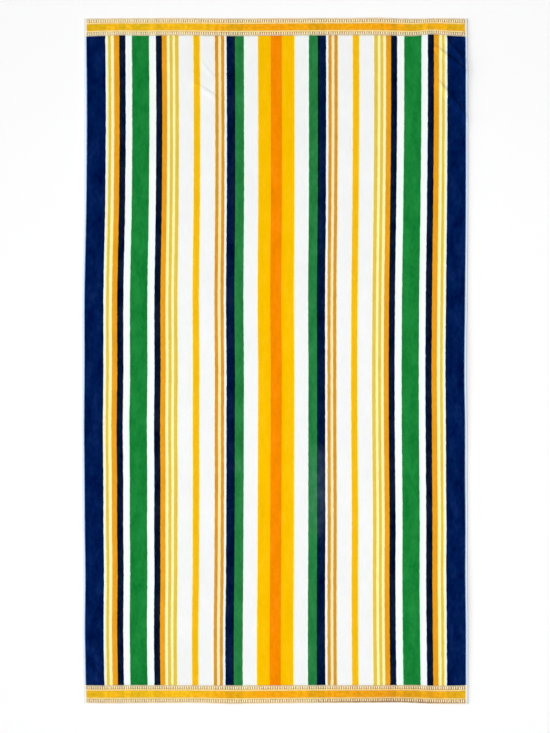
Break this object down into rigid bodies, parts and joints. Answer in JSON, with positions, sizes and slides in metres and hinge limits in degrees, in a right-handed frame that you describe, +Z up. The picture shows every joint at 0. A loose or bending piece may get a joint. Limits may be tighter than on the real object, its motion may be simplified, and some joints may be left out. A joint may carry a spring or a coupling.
{
  "type": "beach towel",
  "caption": "Flat striped beach towel of velour-faced terry with woven end borders and narrow selvedges, spread out face up to lie on.",
  "frame": {"origin": "on the surface, under the middle of the towel's outline", "axes": "+X across the towel, +Y along it towards its top border, +Z up from the resting face"},
  "size_m": [1.0034, 1.7862, 0.0083],
  "materials": {
    "cotton_velour": "sheared cotton pile with woven lengthwise stripes, matt"
  },
  "bodies": {
    "root": {"towel": "cotton_velour"}
  },
  "joints": []
}
